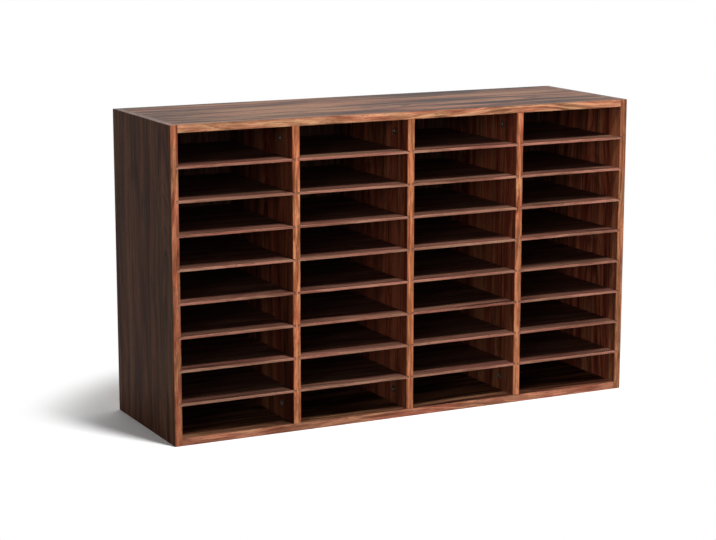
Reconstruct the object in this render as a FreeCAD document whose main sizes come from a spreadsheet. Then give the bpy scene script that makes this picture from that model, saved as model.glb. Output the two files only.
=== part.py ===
import FreeCAD, Part
import os
import re
import Sketcher

# Pigeonhole mail sorter: a flat-pack case of laminated boards, four columns wide and nine rows high.
# Thirty-two loose shelves slide in grooves cut through the uprights. The boards are pulled together
# by cam locks and lined up by dowels, and two hardboard backs are nailed into a rebate.
#
# Millimetres. The origin is the middle of the footprint on the floor; +X is to the right, +Y to the
# back and +Z up, so the open side faces -Y. Each board is drawn in a frame of its own, whose origin
# is the board's low, left, front corner, and its Placement puts it in the case.

COLUMNS = 4
ROWS = 9

SIZES = {
    "overall_width": 1003.0,
    "overall_depth": 305.0,
    "overall_height": 610.0,
    "board": 15.0,               # thickness of the case's boards
    "band": 0.8,                 # thickness of the edge bands
    "shelf_board": 5.0,          # thickness of the loose shelves
    "shelf_setback": 1.0,        # from the case's front to the shelves' front edges
    "groove_depth": 5.0,
    "groove_clearance": 0.3,     # above a shelf, in its groove
    "end_clearance": 0.5,        # at each end of a shelf, and behind it
    "back_board": 3.0,           # thickness of the hardboard backs
    "back_clearance": 0.5,       # round each back, in its rebate
    "rebate_ledge": 7.0,         # width of the ledge that a back lies on
    "fixing_inset": 56.0,        # from the case's front and back to the cam locks
    "dowel_spacing": 32.0,       # from each cam lock to its dowel
    "fastener_clearance": 0.1,   # round every fastener, in its hole
    "tip_clearance": 0.5,        # past the end of every fastener, in its hole
    "cam_inset": 28.5,           # from the joint's face to the cam's axis
    "cam_floor": 2.0,            # board left under a cam's bore
    "cam_radius": 7.4,
    "cam_wall": 2.0,
    "cam_recess": 1.8,           # depth of the cross that the driver turns
    "cam_recess_length": 9.0,
    "cam_recess_width": 1.8,
    "neck_clearance": 0.3,       # round a bolt's neck and head, in its cam
    "bolt_radius": 2.5,          # of the threaded end and of the shank
    "bolt_thread": 10.0,         # length of the threaded end
    "bolt_collar": 1.0,
    "bolt_collar_radius": 3.6,
    "bolt_neck_radius": 1.6,
    "bolt_head": 2.6,
    "bolt_head_radius": 3.2,
    "bolt_bore_radius": 4.0,
    "dowel_radius": 4.0,
    "dowel_length": 30.0,
    "dowel_seat": 10.0,          # part of a dowel that stands in the face of a board
    "dowel_chamfer": 1.0,
    "nail_radius": 0.9,
    "nail_length": 20.0,         # under the head
    "nail_point": 2.5,
    "nail_head": 1.0,            # height of the head
    "nail_head_radius": 2.0,
    "nail_margin": 3.0,          # from the edge of a back to its nails
}

LAYOUT = {
    "inner_width": "overall_width - 2 * board",
    "inner_height": "overall_height - 2 * board",
    "column_width": f"(inner_width - {COLUMNS - 1} * board) / {COLUMNS}",
    "column_pitch": "column_width + board",
    "row_pitch": f"inner_height / {ROWS}",
    "rebate_depth": "back_board + nail_head",
    "front": "band - overall_depth / 2",
    "board_depth": "overall_depth - band",
    "divider_depth": "board_depth - rebate_depth",
    "groove_height": "shelf_board + groove_clearance",
    "shelf_width": "column_width + 2 * groove_depth - 2 * end_clearance",
    "shelf_depth": "overall_depth - rebate_depth - shelf_setback - end_clearance",
    "front_fixing": "fixing_inset - band",
    "rear_fixing": "board_depth - fixing_inset",
    "front_dowel": "front_fixing + dowel_spacing",
    "rear_dowel": "rear_fixing - dowel_spacing",
    "cam_height": "board - cam_floor - tip_clearance",
    "cam_axis": "cam_height - board / 2",
    "cam_chamber": "cam_axis + bolt_head_radius + neck_clearance",
    "bolt_collar_end": "bolt_thread + bolt_collar",
    "bolt_shank_end": "bolt_thread + cam_inset - cam_radius - neck_clearance",
    "bolt_seat": "sqrt((cam_radius - cam_wall - neck_clearance) ^ 2 - bolt_head_radius ^ 2)",
    "bolt_neck_end": "bolt_thread + cam_inset - bolt_seat",
    "bolt_length": "bolt_neck_end + bolt_head",
    "back_width": "inner_width / 2 + rebate_ledge - 2 * back_clearance",
    "back_low": "board - rebate_ledge + back_clearance",
    "back_height": "overall_height - 2 * back_low",
    "nail_low": "back_low + nail_margin",
    "nail_high": "overall_height - nail_low",
    "nail_second_row": "board + 1.5 * row_pitch",
    "nail_fifth_row": "board + 4.5 * row_pitch",
    "nail_eighth_row": "board + 7.5 * row_pitch",
    "nail_centre": "back_clearance + nail_margin",
    "nail_side": "back_clearance + back_width - nail_margin",
    "nail_inner": "(nail_centre + column_pitch) / 2",
    "nail_outer": "(column_pitch + nail_side) / 2",
}

doc = FreeCAD.newDocument("mail_sorter")
nodes = {}


def formula(text):
    """Point each size named in a formula at its cell in the sheet or its value in the layout."""
    def full_name(match):
        word = match.group()
        if word in SIZES:
            return f"Sizes.{word}"
        return f"Layout.{word}" if word in LAYOUT else word
    return re.sub("[a-z_]+", full_name, text)


def write_sizes():
    """Put the driving sizes in a sheet, and what follows from them in a set of variables."""
    sheet = doc.addObject("Spreadsheet::Sheet", "Sizes")
    for row, (alias, number) in enumerate(SIZES.items(), 1):
        sheet.set(f"A{row}", alias)
        sheet.set(f"B{row}", str(number))
        sheet.setAlias(f"B{row}", alias)
    layout = doc.addObject("App::VarSet", "Layout")
    for name in LAYOUT:
        layout.addProperty("App::PropertyFloat", name)
    for name, text in LAYOUT.items():
        layout.setExpression(name, formula(text))
    doc.recompute()
    return sheet, layout


def size(name):
    """Give the present value of a driving size or of one that follows from them."""
    return float(sheet.get(name) if name in SIZES else getattr(layout, name))


# ---------------------------------------------------------------- sketches and features


def new_body(name, x="0", y="0", z="0", kept=True):
    """Start a piece whose frame stands at x, y, z in the case."""
    body = doc.addObject("PartDesign::Body", name)
    body.Label = name
    for axis, text in zip("xyz", (x, y, z)):
        body.setExpression(f"Placement.Base.{axis}", formula(text))
    if kept:
        nodes[name] = body
    return body


def origin_part(body, role):
    """Find one of the body's own origin planes or axes."""
    return next(part for part in body.Origin.OriginFeatures if part.Role == role)


def new_sketch(body, name, plane, level="0"):
    """Start a sketch on an origin plane of the body, moved to a level along the plane's axis."""
    sketch = body.newObject("Sketcher::SketchObject", name)
    sketch.AttachmentSupport = [(origin_part(body, f"{plane}_Plane"), "")]
    sketch.MapMode = "FlatFace"
    offset = f"-({level})" if plane == "XZ" else level
    sketch.setExpression("AttachmentOffset.Base.z", formula(offset))
    return sketch


def fix_point(sketch, item, point, x, y):
    """Hold a point of the sketch at x, y from the sketch's origin."""
    at = sketch.getPoint(item, point)
    for kind, axis, text, start in (("DistanceX", -2, x, at.x), ("DistanceY", -1, y, at.y)):
        if text == "0":
            sketch.addConstraint(Sketcher.Constraint("PointOnObject", item, point, axis))
        else:
            index = sketch.addConstraint(Sketcher.Constraint(kind, -1, 1, item, point, start))
            sketch.setExpression(f"Constraints[{index}]", formula(text))


def draw_outline(sketch, points):
    """Draw a closed outline through the given points."""
    count = len(points)
    start = [FreeCAD.Vector(1 + index, 1 + index * index, 0) for index in range(count)]
    first = sketch.GeometryCount
    for index in range(count):
        sketch.addGeometry(Part.LineSegment(start[index], start[(index + 1) % count]))
    for index in range(count):
        follower = first + (index + 1) % count
        sketch.addConstraint(Sketcher.Constraint("Coincident", first + index, 2, follower, 1))
    for index, (x, y) in enumerate(points):
        fix_point(sketch, first + index, 1, x, y)


def draw_rectangle(sketch, left, low, right, high):
    """Draw a rectangle between two corners."""
    draw_outline(sketch, [(left, low), (right, low), (right, high), (left, high)])


def draw_cross_bar(sketch, width, height):
    """Draw a rectangle centred on the sketch's origin."""
    corners = [FreeCAD.Vector(x, y, 0) for x, y in ((-2, -1), (2, -1), (2, 1), (-2, 1))]
    for start, end in zip(corners, corners[1:] + corners[:1]):
        sketch.addGeometry(Part.LineSegment(start, end))
    for side in range(4):
        sketch.addConstraint(Sketcher.Constraint("Coincident", side, 2, (side + 1) % 4, 1))
        sketch.addConstraint(Sketcher.Constraint("Vertical" if side % 2 else "Horizontal", side))
    sketch.addConstraint(Sketcher.Constraint("Symmetric", 0, 1, 2, 1, -1, 1))
    for kind, side, text, start in (("DistanceX", 0, width, 4.0), ("DistanceY", 1, height, 2.0)):
        index = sketch.addConstraint(Sketcher.Constraint(kind, side, 1, side, 2, start))
        sketch.setExpression(f"Constraints[{index}]", formula(text))


def draw_circles(sketch, spots, radius):
    """Draw a circle of one radius at each spot."""
    for x, y in spots:
        item = sketch.addGeometry(Part.Circle(FreeCAD.Vector(1, 1, 0), FreeCAD.Vector(0, 0, 1), 1.0))
        fix_point(sketch, item, 3, x, y)
        index = sketch.addConstraint(Sketcher.Constraint("Radius", item, 1.0))
        sketch.setExpression(f"Constraints[{index}]", formula(radius))


def pad(body, sketch, length):
    """Raise the sketch along its normal."""
    feature = body.newObject("PartDesign::Pad", "Pad")
    feature.Profile = sketch
    feature.setExpression("Length", formula(length))
    return feature


def pocket(body, sketch, depth=None, along_normal=False, both_sides=False):
    """Cut the sketch into the body, right through where no depth is given."""
    feature = body.newObject("PartDesign::Pocket", "Pocket")
    feature.Profile = sketch
    feature.Reversed = along_normal
    feature.Midplane = both_sides
    if depth is None:
        feature.Type = "ThroughAll"
    else:
        feature.setExpression("Length", formula(depth))
    return feature


def revolve(body, sketch):
    """Turn the sketch once round its own X axis."""
    feature = body.newObject("PartDesign::Revolution", "Revolution")
    feature.Profile = sketch
    feature.ReferenceAxis = (sketch, ["H_Axis"])
    feature.Angle = 360.0
    return feature


def repeat(body, features, axis, count, spacing):
    """Repeat cuts along one of the body's axes."""
    pattern = body.newObject("PartDesign::LinearPattern", "Pattern")
    pattern.Originals = features
    pattern.Direction = (origin_part(body, f"{axis}_Axis"), [""])
    pattern.Mode = "Spacing"
    pattern.Occurrences = count
    pattern.setExpression("Offset", formula(spacing))
    body.Tip = pattern
    return pattern


def drill(body, name, plane, level, spots, radius, depth, along_normal):
    """Sink holes of one radius and depth into the body from a level along the plane's axis."""
    sketch = new_sketch(body, name, plane, level)
    draw_circles(sketch, spots, radius)
    return pocket(body, sketch, depth, along_normal)


# ---------------------------------------------------------------- joinery shared by the boards

FIXINGS = ("front_fixing", "rear_fixing")
DOWELS = ("front_dowel", "rear_dowel")
PILOT = ("bolt_radius + fastener_clearance", "bolt_thread + tip_clearance")
BOLT_BORE = ("bolt_bore_radius", "cam_inset")
CAM_BORE = ("cam_radius + fastener_clearance", "cam_height + tip_clearance")
DOWEL_SEAT = ("dowel_radius + fastener_clearance", "dowel_seat + tip_clearance")
DOWEL_BORE = ("dowel_radius + fastener_clearance", "dowel_length - dowel_seat + tip_clearance")
NAIL_HOLE = ("nail_radius + fastener_clearance", "nail_length - back_board + tip_clearance")
NAIL_ENDS = ("nail_low", "nail_high")
NAIL_ROWS = ("nail_second_row", "nail_fifth_row", "nail_eighth_row")
NAIL_GRID = [
    *((reach, height) for reach in ("nail_centre", "column_pitch", "nail_side")
      for height in (*NAIL_ENDS, *NAIL_ROWS)),
    *((reach, height) for reach in ("nail_inner", "nail_outer") for height in NAIL_ENDS),
]


def cut_grooves(body, faces, base):
    """Cut a shelf groove right through on each face, then repeat it up the board."""
    spans = {
        "left": ("0", "groove_depth"),
        "right": ("board - groove_depth", "board"),
    }
    low = f"board - {base} + row_pitch - shelf_board / 2"
    cuts = []
    for face in faces:
        sketch = new_sketch(body, f"groove_{face}", "XZ")
        start, end = spans[face]
        draw_rectangle(sketch, start, low, end, f"{low} + groove_height")
        cuts.append(pocket(body, sketch))
    repeat(body, cuts, "Z", ROWS - 1, "row_pitch")


def make_side(name, x, inner):
    """Make an outer upright; inner is the face that looks into the case."""
    body = new_body(name, x, "front")
    outline = new_sketch(body, "outline", "YZ")
    draw_rectangle(outline, "0", "0", "board_depth", "overall_height - band")
    pad(body, outline, "board")
    cut_grooves(body, [inner], "0")
    face, from_left = ("board", False) if inner == "right" else ("0", True)
    rebate = new_sketch(body, "rebate", "YZ", face)
    ledge = "board - rebate_ledge"
    draw_rectangle(rebate, "divider_depth", ledge, "board_depth", f"overall_height - ({ledge})")
    pocket(body, rebate, "rebate_ledge", from_left)
    ends = ("board / 2", "overall_height - board / 2")
    for hole, places, cut in (("pilot", FIXINGS, PILOT), ("dowel", DOWELS, DOWEL_SEAT)):
        spots = [(place, end) for place in places for end in ends]
        drill(body, hole, "YZ", face, spots, *cut, from_left)
    inset = "overall_width / 2 - nail_side" if inner == "right" else "nail_side - inner_width / 2"
    spots = [(inset, height) for height in (*NAIL_ENDS, *NAIL_ROWS)]
    drill(body, "nail", "XZ", "divider_depth", spots, *NAIL_HOLE, True)


def make_divider(name, column, nail_places):
    """Make an inner upright on the right of a column, with its cam bores in its left face."""
    x = f"{column} * column_pitch - overall_width / 2"
    body = new_body(name, x, "front", "board")
    outline = new_sketch(body, "outline", "YZ")
    draw_rectangle(outline, "0", "0", "divider_depth", "inner_height")
    pad(body, outline, "board")
    cut_grooves(body, ["left", "right"], "board")
    cams = [(place, height) for place in FIXINGS for height in ("cam_inset", "inner_height - cam_inset")]
    drill(body, "cam", "YZ", "0", cams, *CAM_BORE, True)
    for level, upward in (("0", True), ("inner_height", False)):
        for hole, places, cut in (("bolt", FIXINGS, BOLT_BORE), ("dowel", DOWELS, DOWEL_BORE)):
            spots = [("board / 2", place) for place in places]
            drill(body, hole, "XY", level, spots, *cut, upward)
    spots = [(place, f"{height} - board") for place in nail_places for height in NAIL_ROWS]
    drill(body, "nail", "XZ", "divider_depth", spots, *NAIL_HOLE, True)


def make_level(name, z, inner):
    """Make the top or the bottom board; inner is the face that looks into the case."""
    body = new_body(name, "-inner_width / 2", "front", z)
    outline = new_sketch(body, "outline", "YZ")
    draw_rectangle(outline, "0", "0", "board_depth", "board")
    pad(body, outline, "inner_width")
    ledge = ("0", "rebate_ledge") if inner == "low" else ("board - rebate_ledge", "board")
    rebate = new_sketch(body, "rebate", "YZ")
    draw_rectangle(rebate, "divider_depth", ledge[0], "board_depth", ledge[1])
    pocket(body, rebate, None, True)
    cams = [(x, place) for x in ("cam_inset", "inner_width - cam_inset") for place in FIXINGS]
    drill(body, "cam", "XY", "0", cams, *CAM_BORE, True)
    for level, rightward in (("0", True), ("inner_width", False)):
        for hole, places, cut in (("bolt", FIXINGS, BOLT_BORE), ("dowel", DOWELS, DOWEL_BORE)):
            spots = [(place, "board / 2") for place in places]
            drill(body, hole, "YZ", level, spots, *cut, rightward)
    face, upward = ("0", True) if inner == "low" else ("board", False)
    dividers = [f"{column} * column_pitch - board / 2" for column in range(1, COLUMNS)]
    for hole, places, cut in (("pilot", FIXINGS, PILOT), ("seat", DOWELS, DOWEL_SEAT)):
        spots = [(x, place) for x in dividers for place in places]
        drill(body, hole, "XY", face, spots, *cut, upward)
    height = "board - nail_low" if inner == "low" else "nail_low"
    reaches = ("nail_centre", "nail_inner", "column_pitch", "nail_outer")
    spots = [(f"inner_width / 2 {sign} {reach}", height) for sign in "-+" for reach in reaches]
    drill(body, "nail", "XZ", "divider_depth", spots, *NAIL_HOLE, True)


def make_band(name, x, z, width, height, faces=()):
    """Make the band on a board's front edge, cut by the grooves of the faces named."""
    body = new_body(name, x, "-overall_depth / 2", z)
    outline = new_sketch(body, "outline", "XY")
    draw_rectangle(outline, "0", "0", width, "band")
    pad(body, outline, height)
    if faces:
        cut_grooves(body, faces, z)


def make_top_band(name, x):
    """Make the band on the upper end of an outer upright, behind the band on its front edge."""
    body = new_body(name, x, "front", "overall_height - band")
    outline = new_sketch(body, "outline", "XY")
    draw_rectangle(outline, "0", "0", "board", "board_depth")
    pad(body, outline, "band")


def make_back(name, x, from_centre):
    """Make half of the back; from_centre tells where on it a reach from the middle comes."""
    body = new_body(name, x, "front + divider_depth", "back_low")
    outline = new_sketch(body, "outline", "XY")
    draw_rectangle(outline, "0", "0", "back_width", "back_board")
    pad(body, outline, "back_height")
    spots = [(from_centre.format(reach), f"{height} - back_low") for reach, height in NAIL_GRID]
    drill(body, "nail", "XZ", "0", spots, "nail_radius + fastener_clearance", None, False)


def make_shelf(column, row):
    """Make a loose shelf: a plain board that fills its grooves but for the clearances."""
    x = f"{column - 1} * column_pitch + board - groove_depth + end_clearance - overall_width / 2"
    z = f"board + {row} * row_pitch - shelf_board / 2"
    body = new_body(f"shelf_c{column}_r{row}", x, "shelf_setback - overall_depth / 2", z)
    outline = new_sketch(body, "outline", "XY")
    draw_rectangle(outline, "0", "0", "shelf_width", "shelf_depth")
    pad(body, outline, "shelf_board")


# ---------------------------------------------------------------- fasteners


def make_cam():
    """Make a cam lock: a cup with a hollow for the bolt's head and a slot for its neck.

    Its axis is Z, its face with the driver's cross is on top, and the bolt comes from +X.
    """
    body = new_body("cam_lock", kept=False)
    disc = new_sketch(body, "disc", "XY")
    draw_circles(disc, [("0", "0")], "cam_radius")
    pad(body, disc, "cam_height")
    chamber = new_sketch(body, "chamber", "XY")
    draw_circles(chamber, [("0", "0")], "cam_radius - cam_wall")
    pocket(body, chamber, "cam_chamber", True)
    slot = new_sketch(body, "slot", "XZ")
    draw_rectangle(slot, "0", "0", "cam_radius", "cam_axis + bolt_neck_radius + neck_clearance")
    pocket(body, slot, "2 * (bolt_neck_radius + neck_clearance)", both_sides=True)
    for width, height in (
        ("cam_recess_length", "cam_recess_width"),
        ("cam_recess_width", "cam_recess_length"),
    ):
        bar = new_sketch(body, "bar", "XY", "cam_height")
        draw_cross_bar(bar, width, height)
        pocket(body, bar, "cam_recess")
    return body


def make_bolt():
    """Make a cam bolt along X: threaded end, collar, shank, neck and head."""
    body = new_body("cam_bolt", kept=False)
    profile = new_sketch(body, "profile", "XZ")
    steps = [
        ("0", "bolt_thread", "bolt_radius"),
        ("bolt_thread", "bolt_collar_end", "bolt_collar_radius"),
        ("bolt_collar_end", "bolt_shank_end", "bolt_radius"),
        ("bolt_shank_end", "bolt_neck_end", "bolt_neck_radius"),
        ("bolt_neck_end", "bolt_length", "bolt_head_radius"),
    ]
    corners = [(x, radius) for start, end, radius in steps for x in (start, end)]
    draw_outline(profile, [("0", "0"), *corners, ("bolt_length", "0")])
    revolve(body, profile)
    return body


def make_dowel():
    """Make a dowel along X with chamfered ends."""
    body = new_body("dowel", kept=False)
    profile = new_sketch(body, "profile", "XZ")
    draw_outline(profile, [
        ("0", "0"),
        ("0", "dowel_radius - dowel_chamfer"),
        ("dowel_chamfer", "dowel_radius"),
        ("dowel_length - dowel_chamfer", "dowel_radius"),
        ("dowel_length", "dowel_radius - dowel_chamfer"),
        ("dowel_length", "0"),
    ])
    revolve(body, profile)
    return body


def make_nail():
    """Make a nail along X, point first."""
    body = new_body("nail", kept=False)
    profile = new_sketch(body, "profile", "XZ")
    draw_outline(profile, [
        ("0", "0"),
        ("nail_point", "nail_radius"),
        ("nail_length", "nail_radius"),
        ("nail_length", "nail_head_radius"),
        ("nail_length + nail_head", "nail_head_radius"),
        ("nail_length + nail_head", "0"),
    ])
    revolve(body, profile)
    return body


def list_joints():
    """List the bolted joints of the boards.

    Each is the bolt's point on the joint's face, the way into the board with the cam, and the way
    that the cam faces. The points are without Y, which the fixings give.
    """
    left, down = FreeCAD.Vector(-1, 0, 0), FreeCAD.Vector(0, 0, -1)
    right, up = -left, -down
    middle = size("board") / 2
    joints = []
    for place in range(1, COLUMNS):
        x = place * size("column_pitch") - size("overall_width") / 2 + middle
        joints.append((FreeCAD.Vector(x, 0, size("board")), up, left))
        joints.append((FreeCAD.Vector(x, 0, size("overall_height") - size("board")), down, left))
    for z in (middle, size("overall_height") - middle):
        joints.append((FreeCAD.Vector(-size("inner_width") / 2, 0, z), right, down))
        joints.append((FreeCAD.Vector(size("inner_width") / 2, 0, z), left, down))
    return joints


def pose(point, x_axis, z_axis):
    """Place a fastener with its own X and Z axes along the given ways."""
    turn = FreeCAD.Rotation(x_axis, z_axis.cross(x_axis), z_axis, "XZY")
    return FreeCAD.Placement(point, turn)


def make_group(name, model, places):
    """Make one node of equal fasteners, a separate solid at each place."""
    copies = []
    for place in places:
        copy = model.Shape.copy()
        copy.Placement = place
        copies.append(copy)
    group = doc.addObject("Part::Feature", name)
    group.Label = name
    group.Shape = Part.makeCompound(copies)
    nodes[name] = group


def make_fasteners():
    """Put a cam lock, a bolt and a dowel at each end of every joint, and the nails in the backs."""
    models = [make_cam(), make_bolt(), make_dowel(), make_nail()]
    doc.recompute()
    cams, bolts, dowels = [], [], []
    for face, inward, facing in list_joints():
        for fixing, dowel in zip(FIXINGS, DOWELS):
            point = face + FreeCAD.Vector(0, size("front") + size(fixing), 0)
            base = point + inward * size("cam_inset") + facing * (size("board") / 2 - size("cam_height"))
            cams.append(pose(base, -inward, facing))
            bolts.append(pose(point - inward * size("bolt_thread"), inward, facing))
            point = face + FreeCAD.Vector(0, size("front") + size(dowel), 0)
            dowels.append(pose(point - inward * size("dowel_seat"), inward, facing))
    nail_tip = size("overall_depth") / 2 - size("nail_head") - size("nail_length")
    backward, up = FreeCAD.Vector(0, 1, 0), FreeCAD.Vector(0, 0, 1)
    nails = [
        pose(FreeCAD.Vector(side * size(reach), nail_tip, size(height)), backward, up)
        for side in (-1, 1)
        for reach, height in NAIL_GRID
    ]
    names = ("cam_locks", "cam_bolts", "wood_dowels", "back_panel_nails")
    for name, model, places in zip(names, models, (cams, bolts, dowels, nails)):
        make_group(name, model, places)


# ---------------------------------------------------------------- the whole case


def build():
    """Make every piece."""
    make_side("left_side_panel", "-overall_width / 2", "right")
    make_side("right_side_panel", "inner_width / 2", "left")
    make_level("bottom_panel", "0", "high")
    make_level("top_panel", "overall_height - board", "low")
    make_divider("divider_left", 1, ["board / 2"])
    make_divider("divider_centre", 2, ["board / 2 - nail_centre", "board / 2 + nail_centre"])
    make_divider("divider_right", 3, ["board / 2"])

    make_band("left_side_edge_band", "-overall_width / 2", "0", "board", "overall_height", ["right"])
    make_band("right_side_edge_band", "inner_width / 2", "0", "board", "overall_height", ["left"])
    make_band("bottom_edge_band", "-inner_width / 2", "0", "inner_width", "board")
    make_band("top_edge_band", "-inner_width / 2", "overall_height - board", "inner_width", "board")
    for column, name in enumerate(("left", "centre", "right"), 1):
        x = f"{column} * column_pitch - overall_width / 2"
        make_band(f"divider_{name}_edge_band", x, "board", "board", "inner_height", ["left", "right"])
    make_top_band("left_side_top_band", "-overall_width / 2")
    make_top_band("right_side_top_band", "inner_width / 2")

    make_back("back_panel_left", "-back_clearance - back_width", "back_width + back_clearance - {}")
    make_back("back_panel_right", "back_clearance", "{} - back_clearance")
    for column in range(1, COLUMNS + 1):
        for row in range(1, ROWS):
            make_shelf(column, row)
    make_fasteners()
    doc.recompute()


def find_faults():
    """List the objects that failed, the pieces that are no good and the cuts that cut nothing."""
    faults = [item.Name for item in doc.Objects if {"Invalid", "Error"} & set(item.State)]
    faults += [name for name, node in nodes.items() if node.Shape.isNull() or not node.Shape.isValid()]
    for item in doc.Objects:
        if item.TypeId in ("PartDesign::Pocket", "PartDesign::LinearPattern"):
            if item.Shape.Volume >= item.BaseFeature.Shape.Volume:
                faults.append(f"{item.Name} cuts nothing")
    return faults


sheet, layout = write_sizes()
build()
faults = find_faults()
if faults:
    raise RuntimeError(f"not built: {faults}")
os.makedirs("parts", exist_ok=True)
for name, node in nodes.items():
    node.Shape.exportStep(f"parts/{name}.step")
print(len(nodes), "nodes,", sum(len(node.Shape.Solids) for node in nodes.values()), "solids")
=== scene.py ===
import logging
from dataclasses import dataclass, field, replace
from enum import Enum
from typing import Any, Mapping, Optional, Union

import bmesh
import bpy
from mathutils import Matrix, Vector


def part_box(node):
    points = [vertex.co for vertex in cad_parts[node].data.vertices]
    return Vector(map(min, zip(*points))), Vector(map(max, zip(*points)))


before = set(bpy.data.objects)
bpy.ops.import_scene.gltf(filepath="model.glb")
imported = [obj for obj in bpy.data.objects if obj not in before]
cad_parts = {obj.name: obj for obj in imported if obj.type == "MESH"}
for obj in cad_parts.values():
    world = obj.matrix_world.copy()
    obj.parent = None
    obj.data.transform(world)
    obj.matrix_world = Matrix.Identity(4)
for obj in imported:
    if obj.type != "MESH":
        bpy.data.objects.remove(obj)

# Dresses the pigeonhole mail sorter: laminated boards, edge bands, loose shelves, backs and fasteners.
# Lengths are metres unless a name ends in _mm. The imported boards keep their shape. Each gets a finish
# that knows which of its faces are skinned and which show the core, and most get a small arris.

LOG = logging.getLogger("mail_sorter")
MM = 0.001

# Usual for melamine, printed foil and plastic edge band.
PLASTIC_IOR = 1.5
# How much smoother a printed face is where its relief stands high.
HIGH_SPOTS = -0.06
# The Mix node's colour inputs and its colour output, which share their names with others.
FIRST, SECOND, MIXED = 6, 7, 2

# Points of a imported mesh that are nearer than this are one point.
WELD_MM = 0.005
# Faces that turn by less than the first angle are one flat face, and a corner that turns by more than
# the second gets an arris.
FLAT_ANGLE, ARRIS_ANGLE = 0.01, 0.9
# Width of the arris that the trimming knife leaves.
ARRIS_MM = 0.3

Material = bpy.types.Material
Tree = bpy.types.NodeTree
Socket = bpy.types.NodeSocket
Place = tuple[float, float, float]
Tones = tuple[str, str, str]
Stops = tuple[tuple[float, str], ...]
Settings = Mapping[Union[str, int], Any]


class Axis(Enum):
    """An axis of the object, with its place in a vector."""

    X = 0
    Y = 1
    Z = 2


# ---------------------------------------------------------------- small helpers


def linear(hex_colour: str) -> tuple[float, float, float, float]:
    """Turn an sRGB hex colour into linear RGBA, by the curve of the sRGB standard.

    Args:
        hex_colour: six hex digits, with no hash sign.

    Returns:
        The linear colour, with an alpha of one.
    """
    parts = [int(hex_colour[start:start + 2], 16) / 255 for start in (0, 2, 4)]
    red, green, blue = (
        part / 12.92 if part <= 0.04045 else ((part + 0.055) / 1.055) ** 2.4 for part in parts
    )
    return red, green, blue, 1.0


def grey(level: float) -> tuple[float, float, float, float]:
    """Return a linear grey, which may be brighter than white."""
    return level, level, level, 1.0


def set_node(node: bpy.types.Node, settings: Settings) -> None:
    """Set a node's properties and inputs, and link the inputs that are given a socket.

    Args:
        node: the node.
        settings: values by property name, or by input name or number; "stops" holds the places and
            hex colours of a colour ramp's stops, from low to high.
    """
    for name, value in settings.items():
        if name == "stops":
            elements = node.color_ramp.elements
            while len(elements) < len(value):
                elements.new(0.5)
            for element, (place, colour) in zip(elements, value):
                element.position = place
                element.color = linear(colour)
        elif isinstance(value, Socket):
            node.id_data.links.new(value, node.inputs[name])
        elif isinstance(name, str) and hasattr(node, name):
            setattr(node, name, value)
        else:
            node.inputs[name].default_value = value


def add_node(tree: Tree, kind: str, settings: Settings) -> bpy.types.Node:
    """Add a node with its settings and links.

    Args:
        tree: the tree that gets the node.
        kind: the node's type name without the ShaderNode prefix.
        settings: what set_node takes.

    Returns:
        The new node.
    """
    node = tree.nodes.new(f"ShaderNode{kind}")
    set_node(node, settings)
    return node


# ---------------------------------------------------------------- patterns


@dataclass(frozen=True)
class Grit:
    """Noise whose grains are longer one way, as wood fibres, flakes or cast skin are.

    Attributes:
        size_mm: size of a grain across.
        stretch: how many times longer a grain is along.
        along: the axis of its length.
        detail: octaves of finer noise.
        fineness: how strong each octave is against the one before.
    """

    size_mm: float
    stretch: float = 1.0
    along: Axis = Axis.Z
    detail: float = 3.0
    fineness: float = 0.55

    def add(self, tree: Tree, place: Socket) -> Socket:
        """Add the noise.

        Args:
            tree: the material's tree.
            place: the place on the object in millimetres.

        Returns:
            The noise's value, about one half on average.
        """
        scale = Vector((1, 1, 1)) / self.size_mm
        scale[self.along.value] /= self.stretch
        stretched = add_node(tree, "Mapping", {"Scale": scale, "Vector": place}).outputs[0]
        noise = {"Scale": 1.0, "Detail": self.detail, "Roughness": self.fineness, "Vector": stretched}
        return add_node(tree, "TexNoise", noise).outputs["Fac"]


@dataclass(frozen=True)
class Wander:
    """The slow sideways drift of the grain along a board.

    Attributes:
        across_mm: how far apart the drift's turns are, across the grain.
        stretch: how many times further apart they are along it.
        reach_mm: the drift's size.
        detail: octaves of finer drift.
        fineness: how strong each octave is against the one before.
    """

    across_mm: float = 130.0
    stretch: float = 3.0
    reach_mm: float = 55.0
    detail: float = 2.0
    fineness: float = 0.4

    def add(self, tree: Tree, place: Socket, along: Axis) -> Socket:
        """Add the drift.

        Args:
            tree: the material's tree.
            place: the place on the object in millimetres.
            along: the axis that the grain runs along, where it has no drift.

        Returns:
            The place with the drift added.
        """
        scale = Vector((1, 1, 1)) / self.across_mm
        scale[along.value] /= self.stretch
        reach = Vector((1, 1, 1)) * self.reach_mm
        reach[along.value] = 0.0
        slow = add_node(tree, "Mapping", {"Scale": scale, "Vector": place}).outputs[0]
        noise = {"Scale": 1.0, "Detail": self.detail, "Roughness": self.fineness, "Vector": slow}
        drift = add_node(tree, "TexNoise", noise).outputs["Color"]
        drifted = {"operation": "MULTIPLY_ADD", 0: drift, 1: reach, 2: place}
        return add_node(tree, "VectorMath", drifted).outputs[0]


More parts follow.
